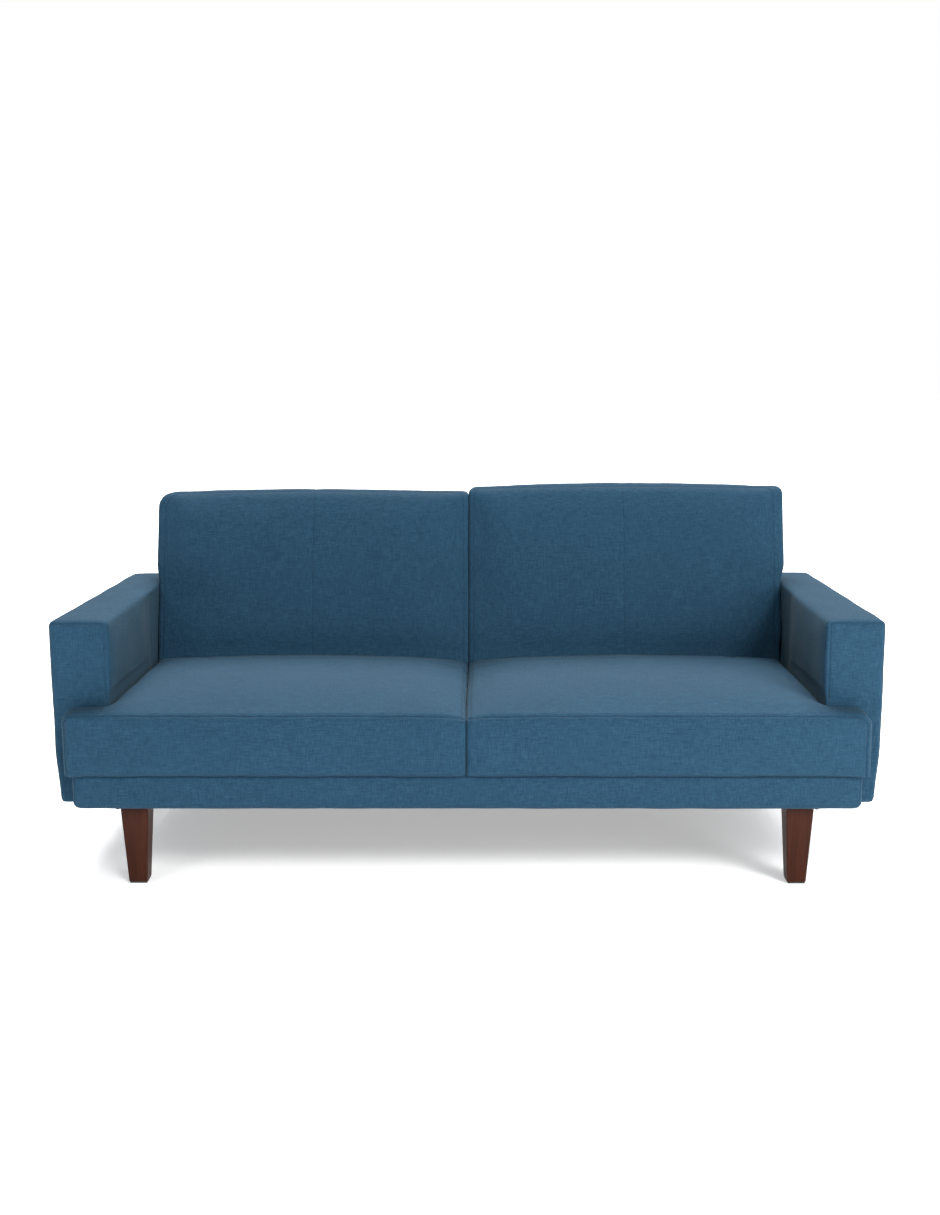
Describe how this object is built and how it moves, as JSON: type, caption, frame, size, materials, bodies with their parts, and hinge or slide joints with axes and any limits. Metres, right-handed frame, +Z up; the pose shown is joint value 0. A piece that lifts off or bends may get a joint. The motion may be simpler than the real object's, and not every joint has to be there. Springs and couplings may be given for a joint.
{
  "type": "futon sofa bed",
  "caption": "Upholstered sofa on tapered wooden legs whose split back reclines in two halves until it lies level with the seat as a bed.",
  "frame": {"origin": "on the floor, at the middle of the sofa's bounding box", "axes": "+X along the sofa to the right as seen from the front, +Y towards the back, +Z up"},
  "size_m": [1.85, 0.796, 0.8483],
  "materials": {
    "upholstery": "matte",
    "back_lining": "matte",
    "dust_cloth": "matte",
    "webbing": "matte",
    "leg_wood": "satin",
    "frame_wood": "matte",
    "glide_plastic": "matte",
    "hinge_black": "satin",
    "spring_steel": "satin",
    "zinc_steel": "satin"
  },
  "bodies": {
    "base": {"front_rail": "frame_wood", "rear_rail": "frame_wood", "side_rail_left": "frame_wood", "side_rail_right": "frame_wood", "centre_beam": "frame_wood", "cross_rails": "frame_wood", "corner_blocks": "frame_wood", "rear_decks": "frame_wood", "front_apron": "upholstery", "rear_apron": "upholstery", "dust_cover": "dust_cloth", "leg_front_left": "leg_wood", "leg_front_right": "leg_wood", "leg_rear_left": "leg_wood", "leg_rear_right": "leg_wood", "leg_plates": "hinge_black", "leg_plate_screws": "hinge_black", "leg_bolts": "zinc_steel", "leg_glides": "glide_plastic", "seat_frame_left": "frame_wood", "seat_frame_right": "frame_wood", "seat_springs_left": "spring_steel", "seat_springs_right": "spring_steel", "spring_clips": "zinc_steel", "seat_frame_bolts": "zinc_steel", "seat_cushion_left": "upholstery", "seat_cushion_right": "upholstery", "arm_frame_left": "frame_wood", "arm_frame_right": "frame_wood", "arm_cover_left": "upholstery", "arm_cover_right": "upholstery", "arm_bolts": "zinc_steel", "arm_bolt_washers": "zinc_steel", "arm_insert_nuts": "zinc_steel", "hinge_base_plates": "hinge_black", "hinge_plate_screws": "zinc_steel", "hinge_pivot_pins": "zinc_steel", "hinge_pin_clips": "zinc_steel", "hinge_pawls": "hinge_black", "pawl_pins": "zinc_steel", "pawl_springs": "spring_steel"},
    "left_back": {"back_frame_left": "frame_wood", "back_webbing_left": "webbing", "back_cushion_left": "upholstery", "back_panel_left": "back_lining", "hinge_arms_left": "hinge_black", "hinge_arm_bolts_left": "zinc_steel", "hinge_washers_left": "zinc_steel"},
    "right_back": {"back_frame_right": "frame_wood", "back_webbing_right": "webbing", "back_cushion_right": "upholstery", "back_panel_right": "back_lining", "hinge_arms_right": "hinge_black", "hinge_arm_bolts_right": "zinc_steel", "hinge_washers_right": "zinc_steel"}
  },
  "joints": [
    {"name": "left_back_recline", "type": "hinge", "parent": "base", "child": "left_back", "pos_m": [-0.3975, 0.202, 0.355], "axis": [-1, 0, 0], "range_deg": [0, 74]},
    {"name": "right_back_recline", "type": "hinge", "parent": "base", "child": "right_back", "pos_m": [0.3975, 0.202, 0.355], "axis": [-1, 0, 0], "range_deg": [0, 74]}
  ]
}
